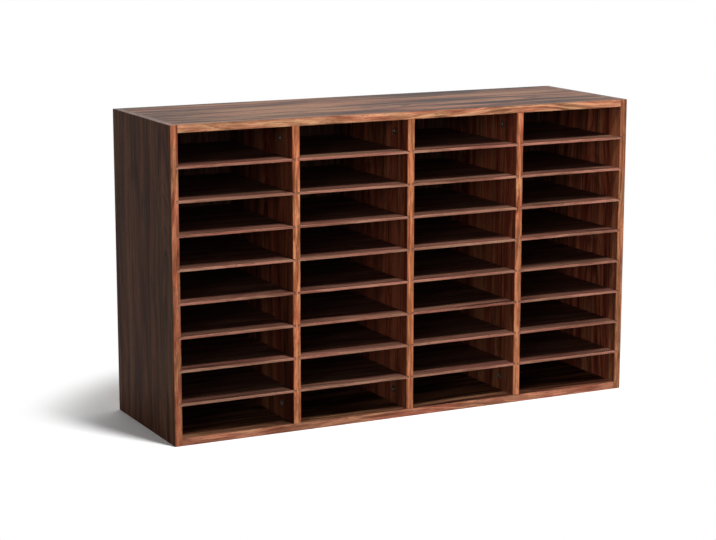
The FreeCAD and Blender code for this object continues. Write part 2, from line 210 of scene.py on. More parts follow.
@dataclass(frozen=True)
class Rings:
    """Growth rings about a heart line, which a board cuts into stripes and pointed arches.

    Attributes:
        heart_mm: a point on the heart line.
        tilt: how that line leans to the board, in radians, which draws the arches.
        spacing_mm: mean width of a ring.
        straightness: how many times slower the rings change along the grain.
        uneven: how many rings the spacing gains or loses.
        changes: how often it does, per ring.
        early: the share of a ring that is plain early wood.
        late: where in a ring the late wood is darkest.
        rare: how few of the rings are strong ones, where one is an even spread.
        mean: what the rings come to on average.
    """

    heart_mm: Place = (0.0, 0.0, 0.0)
    tilt: Place = (0.0, 0.0, 0.0)
    spacing_mm: float = 7.0
    straightness: float = 500.0
    uneven: float = 3.0
    changes: float = 0.45
    early: float = 0.35
    late: float = 0.9
    rare: float = 1.5
    mean: float = 0.3

    def add(self, tree: Tree, place: Socket, along: Axis) -> Socket:
        """Add the rings.

        Args:
            tree: the material's tree.
            place: the place on the object in millimetres.
            along: the axis that the grain runs along.

        Returns:
            Zero in the early wood, and up to one in the late.
        """
        size = Vector((1, 1, 1)) * self.spacing_mm
        size[along.value] *= self.straightness
        about_heart = {
            "vector_type": "TEXTURE",
            "Location": self.heart_mm,
            "Rotation": self.tilt,
            "Scale": size,
            "Vector": place,
        }
        spot = add_node(tree, "Mapping", about_heart).outputs[0]
        radius = add_node(tree, "VectorMath", {"operation": "LENGTH", 0: spot}).outputs["Value"]
        noise = {"noise_dimensions": "1D", "Scale": self.changes, "Detail": 1.0, "W": radius}
        spread = add_node(tree, "TexNoise", noise).outputs["Fac"]
        spaced = {"operation": "MULTIPLY_ADD", 0: spread, 1: self.uneven, 2: radius}
        grown = add_node(tree, "Math", spaced).outputs[0]
        year = add_node(tree, "Math", {"operation": "FRACT", 0: grown}).outputs[0]
        number = add_node(tree, "Math", {"operation": "FLOOR", 0: grown}).outputs[0]
        luck = add_node(tree, "TexWhiteNoise", {"noise_dimensions": "1D", "W": number}).outputs["Value"]
        strength = add_node(tree, "Math", {"operation": "POWER", 0: luck, 1: self.rare}).outputs[0]
        stops = ((self.early, "000000"), (self.late, "ffffff"), (1.0, "000000"))
        shape = add_node(tree, "ValToRGB", {"stops": stops, "Fac": year}).outputs["Color"]
        return add_node(tree, "Math", {"operation": "MULTIPLY", 0: shape, 1: strength}).outputs[0]


@dataclass(frozen=True)
class Wash:
    """Slow change of hue along a print, olive in some long bands and red in others.

    Attributes:
        width: width of a band against the broad streaks.
        stretch: its stretch against theirs.
        stops: its colours by the level of the noise, which the print is multiplied by.
    """

    width: float = 1.8
    stretch: float = 0.8
    stops: Stops = ((0.38, "e8eae0"), (0.62, "fdeae6"))

    def add(self, tree: Tree, place: Socket, wood: Socket, streaks: Grit) -> Socket:
        """Wash the wood.

        Args:
            tree: the material's tree.
            place: the place on the object in millimetres.
            wood: the wood's colour.
            streaks: the print's broad streaks.

        Returns:
            The washed colour.
        """
        wide_mm, long = streaks.size_mm * self.width, streaks.stretch * self.stretch
        bands = Grit(wide_mm, long, streaks.along, 1.0).add(tree, place)
        hue = add_node(tree, "ValToRGB", {"stops": self.stops, "Fac": bands}).outputs["Color"]
        washed = {"data_type": "RGBA", "blend_type": "MULTIPLY", 0: 1.0, FIRST: wood, SECOND: hue}
        return add_node(tree, "Mix", washed).outputs[MIXED]


@dataclass(frozen=True)
class Pores:
    """Short dark dashes along the grain, which a print shows and its press plate dents.

    Attributes:
        size_mm: width of a dash, drawn at twice the real one so that it shows.
        stretch: how many times longer a dash is.
        start: level of the noise at which a dash starts.
        full: level at which it is fully there.
        ink: its colour.
        cover: how much of the wood the ink covers.
    """

    size_mm: float = 0.9
    stretch: float = 14.0
    start: float = 0.6
    full: float = 0.68
    ink: str = "1f1511"
    cover: float = 0.5

    def add(self, tree: Tree, place: Socket, along: Axis) -> Socket:
        """Add the dashes.

        Args:
            tree: the material's tree.
            place: the place on the object in millimetres.
            along: the axis that the grain runs along.

        Returns:
            One in a pore and zero beside it.
        """
        dashes = Grit(self.size_mm, self.stretch, along, 1.0).add(tree, place)
        darkening = {"From Min": self.start, "From Max": self.full, "Value": dashes}
        return add_node(tree, "MapRange", darkening).outputs[0]


@dataclass(frozen=True)
class WoodPrint:
    """A wood picture printed on melamine paper, foil or edge band, with its pores pressed in.

    Attributes:
        along: the axis that the grain runs along.
        tones: colours of the darkest streaks, of most of the wood and of the palest streaks.
        rings: the growth rings.
        streak_mm: width of the broad streaks.
        stretch: how many times longer than wide they are.
        contrast: how strongly the broad streaks part from the middle tone.
        narrow: width of the narrow streaks against the broad ones.
        narrow_contrast: how strongly the narrow streaks show.
        fibre_mm: width of the fibres, drawn at three times the real one so that they show.
        fibre_contrast: how strongly the fibres show.
        fine_stretch: how many times longer than wide the narrow streaks and the fibres are.
        lines: how dark the late wood of a ring can get.
        levels: the sums of all that at which the three tones show.
        wander: the drift of the grain.
        wash: the change of hue.
        pores: the pores.
    """

    along: Axis
    tones: Tones
    rings: Rings = Rings()
    streak_mm: float = 22.0
    stretch: float = 14.0
    contrast: float = 1.0
    narrow: float = 0.22
    narrow_contrast: float = 0.55
    fibre_mm: float = 1.5
    fibre_contrast: float = 0.5
    fine_stretch: float = 40.0
    lines: float = 0.3
    levels: tuple[float, float, float] = (0.22, 0.5, 0.78)
    wander: Wander = Wander()
    wash: Wash = Wash()
    pores: Pores = Pores()

    def about(self, heart_mm: Place) -> "WoodPrint":
        """Return the same print with its rings about another heart."""
        return replace(self, rings=replace(self.rings, heart_mm=heart_mm))

    def add(self, tree: Tree, place: Socket) -> tuple[Socket, Socket]:
        """Add the print.

        Args:
            tree: the material's tree.
            place: the place on the object in millimetres.

        Returns:
            The print's colour and the height of its relief.
        """
        bent = self.wander.add(tree, place, self.along)
        streaks = Grit(self.streak_mm, self.stretch, self.along, 2.0)
        narrow = Grit(self.streak_mm * self.narrow, self.fine_stretch, self.along, 2.0)
        fibres = Grit(self.fibre_mm, self.fine_stretch, self.along, 2.0).add(tree, bent)
        layers = (
            (streaks.add(tree, bent), self.contrast),
            (narrow.add(tree, bent), self.narrow_contrast),
            (fibres, self.fibre_contrast),
            (self.rings.add(tree, bent, self.along), -self.lines),
        )
        spread = self.contrast + self.narrow_contrast + self.fibre_contrast
        tone: Union[Socket, float] = 0.5 - 0.5 * spread + self.rings.mean * self.lines
        for layer, weight in layers:
            with_layer = {"operation": "MULTIPLY_ADD", 0: layer, 1: weight, 2: tone}
            tone = add_node(tree, "Math", with_layer).outputs[0]
        stops = tuple(zip(self.levels, self.tones))
        wood = add_node(tree, "ValToRGB", {"stops": stops, "Fac": tone}).outputs["Color"]
        washed = self.wash.add(tree, bent, wood, streaks)
        pores = self.pores.add(tree, bent, self.along)
        cover = add_node(tree, "Math", {"operation": "MULTIPLY", 0: pores, 1: self.pores.cover}).outputs[0]
        inked = {"data_type": "RGBA", 0: cover, FIRST: washed, SECOND: linear(self.pores.ink)}
        colour = add_node(tree, "Mix", inked).outputs[MIXED]
        height = add_node(tree, "Math", {"operation": "SUBTRACT", 0: fibres, 1: pores}).outputs[0]
        return colour, height


@dataclass(frozen=True)
class RawHardboard:
    """Unprinted hardboard, pressed from wet fibre: brown, with a soft mottle and the odd dark strand.

    Attributes:
        along: the axis that the mat was laid along.
        fibre: its bundles of fibre, drawn at about twice the real ones so that they show.
        patches: the patches that dried more slowly.
        patchiness: how strongly the patches show.
        stops: its colours by the level of the two together.
    """

    along: Axis = Axis.X
    fibre: Grit = Grit(1.6, 2.5, Axis.X, 4.0)
    patches: Grit = Grit(70.0, 1.6, Axis.X, 2.0)
    patchiness: float = 0.5
    stops: Stops = ((0.3, "7a5639"), (0.5, "9c714d"), (0.7, "b68c63"))

    def add(self, tree: Tree, place: Socket) -> tuple[Socket, Socket]:
        """Add the fibre.

        Args:
            tree: the material's tree.
            place: the place on the object in millimetres.

        Returns:
            The fibre's colour and height.
        """
        fibre = self.fibre.add(tree, place)
        patches = self.patches.add(tree, place)
        centred = {
            "operation": "MULTIPLY_ADD", 0: patches, 1: self.patchiness, 2: -self.patchiness / 2,
        }
        shift = add_node(tree, "Math", centred).outputs[0]
        tone = add_node(tree, "Math", {"operation": "ADD", 0: shift, 1: fibre}).outputs[0]
        return add_node(tree, "ValToRGB", {"stops": self.stops, "Fac": tone}).outputs["Color"], fibre


@dataclass(frozen=True)
class CutCore:
    """The core where a board is cut: flakes or fibres that lie along it.

    Attributes:
        grain_mm: width of a flake, or of a bundle of fibres drawn as coarse as it needs to show.
        stops: its colours by the level of the noise.
        stretch: how many times longer a flake is.
        detail: octaves of finer noise.
    """

    grain_mm: float
    stops: Stops
    stretch: float = 2.2
    detail: float = 4.0

    def add(self, tree: Tree, place: Socket, along: Axis) -> tuple[Socket, Socket]:
        """Add the flakes or fibres.

        Args:
            tree: the material's tree.
            place: the place on the object in millimetres.
            along: the axis that they lie along.

        Returns:
            Their colour and height.
        """
        flakes = Grit(self.grain_mm, self.stretch, along, self.detail).add(tree, place)
        return add_node(tree, "ValToRGB", {"stops": self.stops, "Fac": flakes}).outputs["Color"], flakes


class Core(Enum):
    """What a board is made of under its skin."""

    PARTICLE_BOARD = CutCore(2.2, ((0.35, "7d6244"), (0.5, "a98a62"), (0.66, "cdb088")))
    FIBREBOARD = CutCore(0.7, ((0.35, "8c6a47"), (0.5, "a07c55"), (0.66, "ad8a62")))


# ---------------------------------------------------------------- finishes


@dataclass
class Surface:
    """A new material, with what every finish needs of it.

    Attributes:
        name: the material's name.
        material: the material.
        tree: its node tree.
        shader: its shader.
        place: the place on the object in millimetres.
    """

    name: str
    material: Material = field(init=False)
    tree: Tree = field(init=False)
    shader: bpy.types.Node = field(init=False)
    place: Socket = field(init=False)

    def __post_init__(self) -> None:
        """Make the material and the nodes that every finish starts from."""
        self.material = bpy.data.materials.new(self.name)
        self.material.use_nodes = True
        self.tree = self.material.node_tree
        self.shader = self.tree.nodes["Principled BSDF"]
        metres = add_node(self.tree, "TexCoord", {}).outputs["Object"]
        to_mm = {"Scale": (1 / MM,) * 3, "Vector": metres}
        self.place = add_node(self.tree, "Mapping", to_mm).outputs[0]

    def off_middle(self, low: Vector, high: Vector, axis: int) -> Socket:
        """Add the way from a piece's middle.

        Args:
            low: the piece's lowest corner.
            high: its highest corner.
            axis: the axis to measure along, as its place in a vector.

        Returns:
            The way in millimetres, negative on the low side.
        """
        middle = (low[axis] + high[axis]) / 2 / MM
        along = add_node(self.tree, "SeparateXYZ", {0: self.place}).outputs[axis]
        return add_node(self.tree, "Math", {"operation": "SUBTRACT", 0: along, 1: middle}).outputs[0]


class Inner(Enum):
    """Which side of an upright looks into the case: that side's sign along X, or zero for both."""

    LEFT = -1
    BOTH = 0
    RIGHT = 1


@dataclass(frozen=True)
class PaintedInnerLight:
    """Painted light on an upright's inner side: its print made lighter and redder, standing in for light
    that bounces about inside the case.

    Attributes:
        side: which side of the board looks into the case.
        value: how much lighter the painted light makes the inner print than the outer one.
        hue: the turn of its hue towards red, where one half is none.
        saturation: how strong its colour is against the outer one.
        margin_mm: how far the inner side reaches past the board's middle.
    """

    side: Inner
    value: float
    hue: float = 0.488
    saturation: float = 1.1
    margin_mm: float = 0.5

    def add(self, tree: Tree, off_middle: Socket, outer: Socket) -> Socket:
        """Paint light on the inner side, making it lighter and redder.

        Args:
            tree: the material's tree.
            off_middle: millimetres from the board's middle, along X.
            outer: the outer print's colour.

        Returns:
            The colour of both sides.
        """
        sides = {"operation": "MULTIPLY", 0: off_middle, 1: self.side.value}
        inward = add_node(tree, "Math", sides).outputs[0]
        # With the margin, a sign of zero takes in the whole board.
        past_margin = {"operation": "GREATER_THAN", 0: inward, 1: -self.margin_mm}
        painted_inner_light = {
            "Hue": self.hue,
            "Saturation": self.saturation,
            "Value": self.value,
            "Fac": add_node(tree, "Math", past_margin).outputs[0],
            "Color": outer,
        }
        return add_node(tree, "HueSaturation", painted_inner_light).outputs[0]


@dataclass(frozen=True)
class SkinnedBoard:
    """Board with a print on two faces, and its core bare on the cut ones.

    As melamine over particle board, pressed with a satin plate, it gives the eye dark streaky wood
    with a soft sheen on the broad faces, and pale speckled flakes in the grooves and at the back.

    Attributes:
        name: the material's name.
        picture: what the two faces show.
        across: the axis through the board's thickness.
        core: what the cut faces show.
        roughness: of the skin.
        gloss: the skin's specular level; the lacquer over the print is thin and dull.
        front: the picture on the front edge, where that edge is skinned too.
        painted_inner_light: painted light on the inner side, which makes it lighter and redder, where there
            is any.
        skin_mm: depth to which the skin shows on its own edge.
        bare_roughness: of the core.
        relief: how strongly the relief shows.
        relief_mm: its depth.
    """

    name: str
    picture: Union[WoodPrint, RawHardboard]
    across: Axis
    core: Core = Core.PARTICLE_BOARD
    roughness: float = 0.5
    gloss: float = 0.025
    front: Optional[WoodPrint] = None
    painted_inner_light: Optional[PaintedInnerLight] = None
    skin_mm: float = 0.4
    bare_roughness: float = 0.92
    relief: float = 0.35
    relief_mm: float = 0.12

    def make(self, low: Vector, high: Vector) -> Material:
        """Make the material for a board.

        Args:
            low: the board's lowest corner.
            high: its highest corner.

        Returns:
            The material.
        """
        surface = Surface(self.name)
        tree, place, axis = surface.tree, surface.place, self.across.value
        half = (high[axis] - low[axis]) / 2 / MM - self.skin_mm
        off_middle = surface.off_middle(low, high, axis)
        depth = add_node(tree, "Math", {"operation": "ABSOLUTE", 0: off_middle}).outputs[0]
        skinned = add_node(tree, "Math", {"operation": "GREATER_THAN", 0: depth, 1: half}).outputs[0]
        colour, height = self.picture.add(tree, place)
        bare, bare_height = self.core.value.add(tree, place, self.picture.along)
        # Painted light: the inner side is made lighter and redder.
        if self.painted_inner_light is not None:
            colour = self.painted_inner_light.add(tree, off_middle, colour)
        if self.front is not None:
            depth_in = add_node(tree, "SeparateXYZ", {0: place}).outputs[Axis.Y.value]
            edge = {"operation": "LESS_THAN", 0: depth_in, 1: low[Axis.Y.value] / MM + self.skin_mm}
            at_front = add_node(tree, "Math", edge).outputs[0]
            either = {"operation": "MAXIMUM", 0: skinned, 1: at_front}
            skinned = add_node(tree, "Math", either).outputs[0]
            front = self.front.add(tree, place)[0]
            both = {"data_type": "RGBA", 0: at_front, FIRST: colour, SECOND: front}
            colour = add_node(tree, "Mix", both).outputs[MIXED]
        shown = {"data_type": "RGBA", 0: skinned, FIRST: bare, SECOND: colour}
        levels = {"To Min": self.bare_roughness, "To Max": self.roughness, "Value": skinned}
        rough = add_node(tree, "MapRange", levels).outputs[0]
        worn = {"operation": "MULTIPLY_ADD", 0: height, 1: HIGH_SPOTS, 2: rough}
        heights = {"data_type": "FLOAT", 0: skinned, 2: bare_height, 3: height}
        bump = {
            "Strength": self.relief,
            "Distance": self.relief_mm * MM,
            "Height": add_node(tree, "Mix", heights).outputs[0],
        }
        set_node(surface.shader, {
            "Base Color": add_node(tree, "Mix", shown).outputs[MIXED],
            "Roughness": add_node(tree, "Math", worn).outputs[0],
            "Normal": add_node(tree, "Bump", bump).outputs[0],
            "IOR": PLASTIC_IOR,
            "Specular IOR Level": self.gloss,
        })
        return surface.material


@dataclass(frozen=True)
class EdgeBand:
    """Edge band: printed plastic strip glued on a sawn edge and trimmed flush.

    A little glossier and redder than the board's skin. Its lighter print is partly its own colour and
    partly painted light, so that the front reads as a lit outline. The two long corners are printed darker.

    Attributes:
        name: the material's name.
        picture: the picture on the strip.
        roughness: of the strip.
        gloss: its specular level.
        corner_tone: colour towards the two long corners.
        corner_start_mm: how far in from a corner the darkening starts.
        corner_full_mm: how far in it is strongest.
        corner_cover: how much of the print it covers there.
        relief: how strongly the relief shows.
        relief_mm: its depth.
    """

    name: str
    picture: WoodPrint
    roughness: float = 0.45
    gloss: float = 0.05
    corner_tone: str = "3a2219"
    corner_start_mm: float = 1.3
    corner_full_mm: float = 0.3
    corner_cover: float = 0.45
    relief: float = 0.3
    relief_mm: float = 0.1

    def make(self, low: Vector, high: Vector) -> Material:
        """Make the material for a strip.

        Args:
            low: the strip's lowest corner.
            high: its highest corner.

        Returns:
            The material.
        """
        surface = Surface(self.name)
        tree = surface.tree
        colour, height = self.picture.add(tree, surface.place)
        # A strip is long, less wide and thin, so its width is the size between.
        size = high - low
        across = sorted(range(3), key=lambda axis: size[axis])[1]
        half = size[across] / 2 / MM
        off_middle = surface.off_middle(low, high, across)
        # Darker towards the strip's two long corners.
        corner_fade = {
            "From Min": half - self.corner_start_mm,
            "From Max": half - self.corner_full_mm,
            "To Min": 0.0,
            "To Max": self.corner_cover,
            "Value": add_node(tree, "Math", {"operation": "ABSOLUTE", 0: off_middle}).outputs[0],
        }
        cover = add_node(tree, "MapRange", corner_fade).outputs[0]
        shown = {"data_type": "RGBA", 0: cover, FIRST: colour, SECOND: linear(self.corner_tone)}
        worn = {"operation": "MULTIPLY_ADD", 0: height, 1: HIGH_SPOTS, 2: self.roughness}
        bump = {"Strength": self.relief, "Distance": self.relief_mm * MM, "Height": height}
        set_node(surface.shader, {
            "Base Color": add_node(tree, "Mix", shown).outputs[MIXED],
            "Roughness": add_node(tree, "Math", worn).outputs[0],
            "Normal": add_node(tree, "Bump", bump).outputs[0],
            "IOR": PLASTIC_IOR,
            "Specular IOR Level": self.gloss,
        })
        return surface.material


@dataclass(frozen=True)
class PlainMetal:
    """Bare metal part with the fine mottle that its making leaves.

    Attributes:
        name: the material's name.
        stops: its colours by the level of the mottle.
        low_roughness: of the mottle's low spots.
        high_roughness: of its high spots.
        grain_mm: size of the mottle, drawn a few times coarser than the real one so that it shows.
        relief: how strongly the relief shows.
        relief_mm: its depth.
    """

    name: str
    stops: Stops
    low_roughness: float
    high_roughness: float
    grain_mm: float
    relief: float = 0.2
    relief_mm: float = 0.05

    def make(self) -> Material:
        """Make the metal's material.

        Returns:
            The material.
        """
        surface = Surface(self.name)
        tree = surface.tree
        mottle = Grit(self.grain_mm).add(tree, surface.place)
        levels = {"To Min": self.low_roughness, "To Max": self.high_roughness, "Value": mottle}
        bump = {"Strength": self.relief, "Distance": self.relief_mm * MM, "Height": mottle}
        set_node(surface.shader, {
            "Base Color": add_node(tree, "ValToRGB", {"stops": self.stops, "Fac": mottle}).outputs["Color"],
            "Roughness": add_node(tree, "MapRange", levels).outputs[0],
            "Normal": add_node(tree, "Bump", bump).outputs[0],
            "Metallic": 1.0,
        })
        return surface.material


@dataclass(frozen=True)
class TurnedBeech:
    """Turned beech dowel: pale, plain and matt, with short flecks along it.

    Attributes:
        name: the material's name.
        flecks: the flecks, drawn about three times as wide as the real ones so that they show.
        stops: the wood's colours by the level of the flecks.
        roughness: of the turned wood.
    """

    name: str = "turned_beech"
    flecks: Grit = Grit(0.8, 6.0)
    stops: Stops = ((0.35, "a97b4b"), (0.5, "c79a68"), (0.7, "d7b083"))
    roughness: float = 0.75

    def make(self) -> Material:
        """Make the dowels' material.

        Returns:
            The material.
        """
        surface = Surface(self.name)
        tree = surface.tree
        flecks = self.flecks.add(tree, surface.place)
        set_node(surface.shader, {
            "Base Color": add_node(tree, "ValToRGB", {"stops": self.stops, "Fac": flecks}).outputs["Color"],
            "Roughness": self.roughness,
        })
        return surface.material


# ---------------------------------------------------------------- sub-assemblies


def dress(node: str, material: Material, arris_mm: float = 0.0) -> None:
    """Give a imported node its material, weld its loose triangles and take off its sharp edges if asked.

    Args:
        node: the node's name.
        material: its finish.
        arris_mm: width of the arris; none where it is zero.
    """
    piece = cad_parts[node]
    piece.data.materials.clear()
    piece.data.materials.append(material)
    weld = piece.modifiers.new("weld", "WELD")
    weld.merge_threshold = WELD_MM * MM
    if arris_mm:
        flat = piece.modifiers.new("flat", "DECIMATE")
        flat.decimate_type = "DISSOLVE"
        flat.angle_limit = FLAT_ANGLE
        arris = piece.modifiers.new("arris", "BEVEL")
        arris.width = arris_mm * MM
        arris.segments = 2
        arris.limit_method = "ANGLE"
        arris.angle_limit = ARRIS_ANGLE
        arris.harden_normals = False
    LOG.info("%s wears %s", node, material.name)


@dataclass
class Case:
    """The bolted case: outer uprights, dividers, top, bottom and their edge bands.

    Its boards are particle board with a walnut print on melamine. Its edge bands have a redder and lighter
    print. Each band's tones are set one by one to how bright it looks, so the differences between them are
    painted light and shade: among the front bands, the left divider's is the lightest and the two side
    panels' the darkest.

    Attributes:
        upright_print: the uprights' print outside.
        upright_gloss: the uprights' specular level.
        heart_step_mm: how much further across the same long print each upright is cut.
        painted_inner_light: the painted light that makes each upright's inner side lighter and redder,
            least on the left divider and most on the right side panel.
        level_print: the print of the top and bottom boards.
        level_roughness: of that print.
        level_gloss: its specular level.
        level_hearts: where the heart of each of them lies along Y, in millimetres.
        heart_depth_mm: how far beside or under a board its heart lies.
        band_print: the edge bands' print, without their tones.
        band_heart_mm: the way from a band's middle to its heart.
        bands: the axis that each band's grain runs along, and its tones.
    """

    upright_print: WoodPrint = WoodPrint(
        Axis.Z, ("20110b", "4e3125", "78543e"), Rings((0.0, -90.0, 300.0), (0.0, 0.07, 0.0)), 24.0
    )
    upright_gloss: float = 0.016
    heart_step_mm: float = 45.0
    # Painted light: each upright's inner side is lightened and reddened by its own factor, more towards the
    # right, standing in for light bounced about inside the case.
    painted_inner_light: dict[str, PaintedInnerLight] = field(default_factory=lambda: {
        "left_side_panel": PaintedInnerLight(Inner.RIGHT, 1.6),
        "right_side_panel": PaintedInnerLight(Inner.LEFT, 2.6),
        "divider_left": PaintedInnerLight(Inner.BOTH, 1.25),
        "divider_centre": PaintedInnerLight(Inner.BOTH, 1.7),
        "divider_right": PaintedInnerLight(Inner.BOTH, 2.0),
    })
    level_print: WoodPrint = WoodPrint(
        Axis.X, ("1c0e0a", "513326", "8b644b"), Rings((-200.0, 0.0, 0.0), (0.0, 0.05, 0.0)), 28.0,
        contrast=1.9,
    )
    level_roughness: float = 0.46
    level_gloss: float = 0.02
    level_hearts: dict[str, float] = field(default_factory=lambda: {
        "bottom_panel": 60.0,
        "top_panel": -20.0,
    })
    heart_depth_mm: float = 55.0
    band_print: WoodPrint = WoodPrint(
        Axis.Z, ("874f34", "c57b56", "f5ad7c"), Rings(tilt=(0.02, 0.02, 0.02), spacing_mm=6.0), 7.0, 9.0
    )
    band_heart_mm: Place = (20.0, 30.0, 20.0)
    # The front bands' tones are set band by band to how bright each looks: painted light and shade,
    # lightest on the left divider and darkest on the two side panels.
    bands: dict[str, tuple[Axis, Tones]] = field(default_factory=lambda: {
        "left_side_edge_band": (Axis.Z, ("77422c", "ac6b50", "dc956e")),
        "right_side_edge_band": (Axis.Z, ("76462d", "a97051", "da9c73")),
        "divider_left_edge_band": (Axis.Z, ("8d5237", "ce805a", "ffb382")),
        "divider_centre_edge_band": (Axis.Z, ("874f34", "c57b56", "f5ad7c")),
        "divider_right_edge_band": (Axis.Z, ("874f36", "c57b58", "f5ad7f")),
        "top_edge_band": (Axis.X, ("885540", "c38869", "f6ba92")),
        "bottom_edge_band": (Axis.X, ("905844", "c18068", "f4b08c")),
        "left_side_top_band": (Axis.Y, ("2d1b14", "563a2e", "785947")),
        "right_side_top_band": (Axis.Y, ("2d1b14", "563a2e", "785947")),
    })

    def dress_uprights(self) -> None:
        """Give the outer uprights and the dividers skins whose grain stands up."""
        _, first_y, heart_z = self.upright_print.rings.heart_mm
        for number, (name, painted_inner_light) in enumerate(self.painted_inner_light.items()):
            low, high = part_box(name)
            heart_x = (low.x + high.x) / 2 / MM + self.heart_depth_mm
            picture = self.upright_print.about((heart_x, first_y + self.heart_step_mm * number, heart_z))
            finish = SkinnedBoard(
                f"walnut_print_melamine_{name}", picture, Axis.X, gloss=self.upright_gloss, painted_inner_light=painted_inner_light
            )
            dress(name, finish.make(low, high), ARRIS_MM)

    def dress_levels(self) -> None:
        """Give the top and bottom boards skins whose grain lies along the case."""
        heart_x = self.level_print.rings.heart_mm[0]
        for name, heart_y in self.level_hearts.items():
            low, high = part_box(name)
            finish = SkinnedBoard(
                f"walnut_print_melamine_{name}",
                self.level_print.about((heart_x, heart_y, high.z / MM - self.heart_depth_mm)),
                Axis.Z,
                roughness=self.level_roughness,
                gloss=self.level_gloss,
            )
            dress(name, finish.make(low, high), ARRIS_MM)

    def dress_bands(self) -> None:
        """Give each edge band a print that runs along it."""
        for name, (along, tones) in self.bands.items():
            low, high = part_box(name)
            heart = tuple((low + high) / 2 / MM + Vector(self.band_heart_mm))
            picture = replace(self.band_print.about(heart), along=along, tones=tones)
            dress(name, EdgeBand(f"printed_edge_band_{name}", picture).make(low, high), ARRIS_MM)


@dataclass
class Shelves:
    """The loose shelves: thin fibreboard wrapped in a printed foil on top, underneath and in front.

    The foil gives the eye a thinner and flatter wood than the case's, with a paler line along its front
    edge, and the sawn ends in the grooves are plain tan.

    Attributes:
        columns: how many shelves lie side by side.
        rows: how many lie over each other.
        skin: the foil's print on the broad faces.
        edge: its print on the front edge, paler.
        heart_step_mm: how much further across the same long print each column is cut.
        first_heart_mm: where the heart would lie along Y for a column before the first.
        heart_depth_mm: how far under a shelf its heart lies.
    """

    columns: int = 4
    rows: int = 8
    skin: WoodPrint = WoodPrint(Axis.X, ("281813", "613f37", "8c6857"))
    edge: WoodPrint = WoodPrint(Axis.X, ("825647", "ac7968", "cb9883"), streak_mm=9.0)
    heart_step_mm: float = 40.0
    first_heart_mm: float = -100.0
    heart_depth_mm: float = 50.0

    def dress_all(self) -> None:
        """Give every shelf its own stretch of the foil's print."""
        for column in range(1, self.columns + 1):
            heart_y = self.heart_step_mm * column + self.first_heart_mm
            for row in range(1, self.rows + 1):
                name = f"shelf_c{column}_r{row}"
                low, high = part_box(name)
                heart = (low.x / MM, heart_y, high.z / MM - self.heart_depth_mm)
                finish = SkinnedBoard(
                    f"foiled_fibreboard_{name}",
                    self.skin.about(heart),
                    Axis.Z,
                    Core.FIBREBOARD,
                    front=self.edge.about(heart),
                )
                dress(name, finish.make(low, high), ARRIS_MM)


@dataclass
class Backs:
    """The two nailed hardboard backs, printed on the inside and bare behind.

    The inside gives the eye nearly black matt wood, and the outside plain brown pressed fibre.

    Attributes:
        names: the backs' nodes.
        inside: the print inside.
        heart_y_mm: where its heart lies along Y.
        heart_z_mm: where its heart lies along Z.
        roughness: of the print and of the bare fibre.
    """

    names: tuple[str, ...] = ("back_panel_left", "back_panel_right")
    inside: WoodPrint = WoodPrint(Axis.Z, ("211612", "4c342a", "6e4f41"))
    heart_y_mm: float = 200.0
    heart_z_mm: float = 300.0
    roughness: float = 0.8

    def dress_all(self) -> None:
        """Print the inner faces and leave the outer ones as bare hardboard."""
        for name in self.names:
            low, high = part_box(name)
            heart = ((low.x + high.x) / 2 / MM, self.heart_y_mm, self.heart_z_mm)
            finish = SkinnedBoard(
                f"printed_hardboard_{name}",
                RawHardboard(),
                Axis.Y,
                Core.FIBREBOARD,
                self.roughness,
                front=self.inside.about(heart),
            )
            dress(name, finish.make(low, high))


@dataclass
class Fasteners:
    """Cam locks, cam bolts, nails and dowels.

    Attributes:
        zinc: die-cast zinc of the cam locks, dull grey with a pebbled cast skin.
        plated: zinc-plated turned steel of the cam bolts, bright but a little milky.
        drawn: drawn steel wire of the nails, the smoothest and coldest of the three.
        beech: turned beech of the dowels.
    """

    zinc: PlainMetal = PlainMetal("die_cast_zinc", ((0.35, "8f8d89"), (0.65, "b8b6b1")), 0.54, 0.35, 1.2)
    plated: PlainMetal = PlainMetal(
        "zinc_plated_steel", ((0.35, "9a9a94"), (0.65, "c4c3ba")), 0.44, 0.25, 0.8
    )
    drawn: PlainMetal = PlainMetal(
        "bright_drawn_steel", ((0.35, "8a8a8a"), (0.65, "bdbdbd")), 0.46, 0.27, 0.6
    )
    beech: TurnedBeech = TurnedBeech()

    def dress_all(self) -> None:
        """Give each kind of fastener its metal or wood."""
        dress("cam_locks", self.zinc.make())
        dress("cam_bolts", self.plated.make())
        dress("back_panel_nails", self.drawn.make())
        dress("wood_dowels", self.beech.make())


# ---------------------------------------------------------------- studio


def hang(lamp: bpy.types.Light, place: Vector, back: Vector) -> bpy.types.Object:
    """Hang a lamp in the scene.

    Args:
        lamp: the lamp's data.
        place: where it hangs.
        back: the way from what it lights to the lamp.

    Returns:
        The lamp's object.
    """
    holder = bpy.data.objects.new(lamp.name, lamp)
    holder.location = place
    holder.rotation_mode = "QUATERNION"
    holder.rotation_quaternion = back.to_track_quat("Z", "Y")
    bpy.context.scene.collection.objects.link(holder)
    return holder


@dataclass(frozen=True)
class FarLamp:
    """A soft lamp far away.

    Attributes:
        name: the lamp's name.
        way: the way to it.
        strength: its light on a face that looks at it, in watts per square metre.
        angle: how wide it looks, in radians.
    """

    name: str
    way: Place
    strength: float
    angle: float

    def set_up(self) -> None:
        """Hang the lamp in the scene."""
        lamp = bpy.data.lights.new(self.name, "SUN")
        lamp.energy = self.strength
        lamp.angle = self.angle
        hang(lamp, Vector(), Vector(self.way))


@dataclass(frozen=True)
class SoftBox:
    """A round soft box near the object, so that what is nearer to it is a little brighter.

    Attributes:
        name: the lamp's name.
        place: where it hangs.
        aim: the point that it faces.
        power: its power in watts.
        width: its diameter.
    """

    name: str
    place: Place
    aim: Place
    power: float
    width: float

    def set_up(self) -> None:
        """Hang the soft box in the scene, unseen by the camera."""
        lamp = bpy.data.lights.new(self.name, "AREA")
        lamp.shape = "DISK"
        lamp.size = self.width
        lamp.energy = self.power
        place = Vector(self.place)
        hang(lamp, place, place - Vector(self.aim)).visible_camera = False


